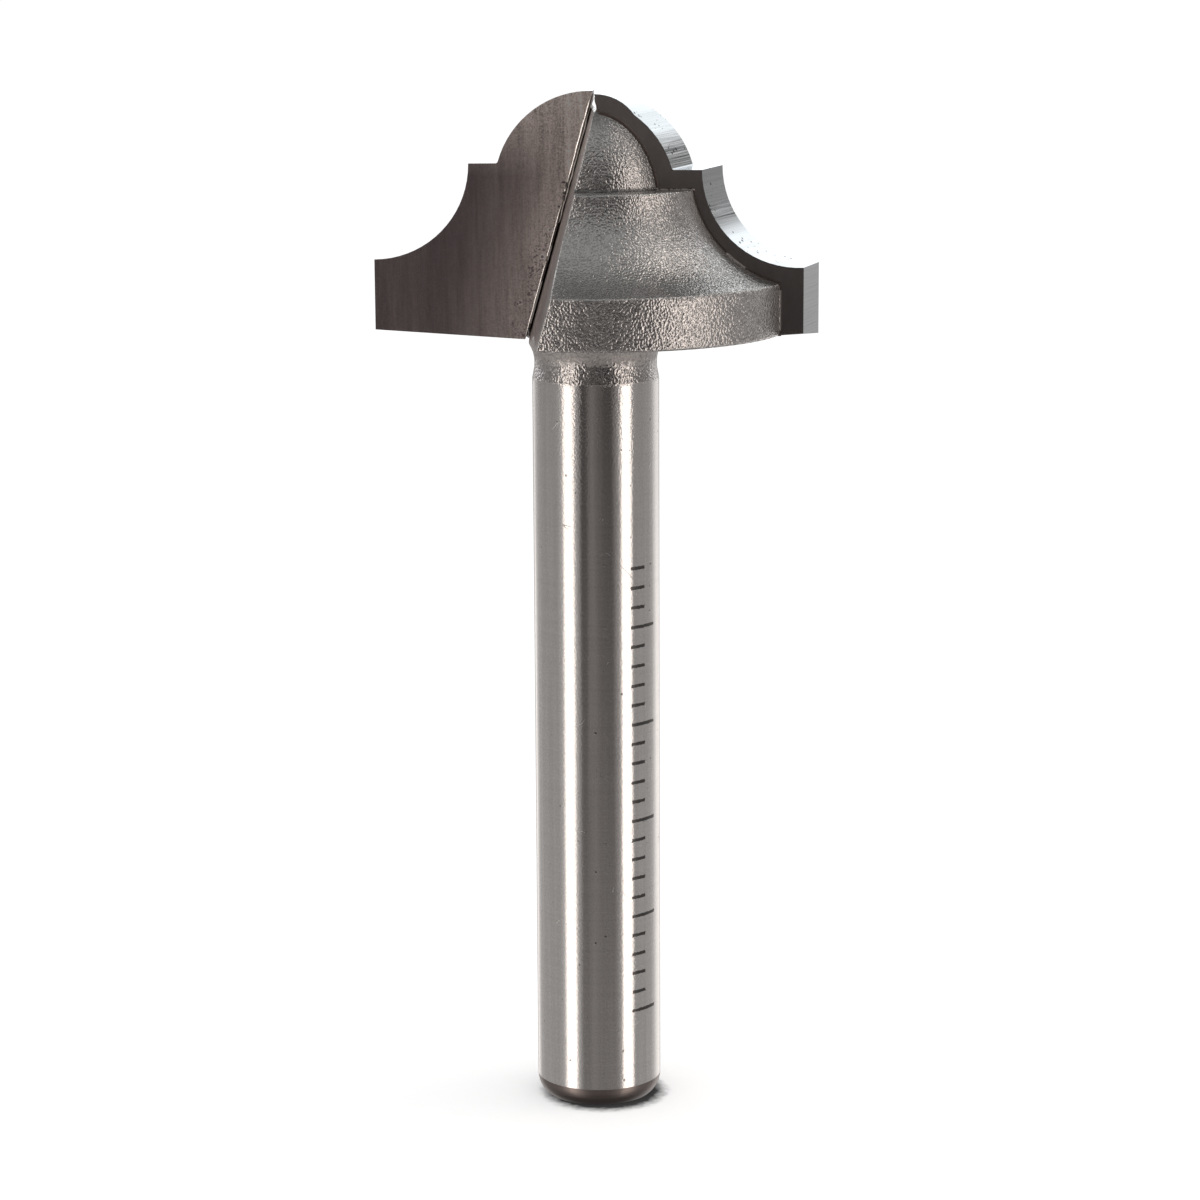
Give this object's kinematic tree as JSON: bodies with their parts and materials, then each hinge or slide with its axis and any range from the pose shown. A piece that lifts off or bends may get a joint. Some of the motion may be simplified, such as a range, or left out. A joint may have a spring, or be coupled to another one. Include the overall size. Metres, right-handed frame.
{
  "type": "router bit",
  "caption": "Carbide-tipped profile router bit that cuts a stepped round and cove, with a plunging point and a plain straight shank.",
  "frame": {"origin": "centre of the shank's end face, which the bit stands on", "axes": "+Z along the axis from the shank to the cutting point; the rake faces of the two tips are square to Y, and the tip on the +X side faces +Y"},
  "size_m": [0.0222, 0.019, 0.0514],
  "materials": {
    "tool_steel": "ground bright on the shank, bead blasted on the neck and head",
    "tungsten_carbide": "dark, finely ground",
    "silver_solder": "bright, as run"
  },
  "bodies": {
    "root": {"steel_body": "tool_steel", "right_carbide_tip": "tungsten_carbide", "left_carbide_tip": "tungsten_carbide", "right_braze_seam": "silver_solder", "left_braze_seam": "silver_solder"}
  },
  "joints": []
}
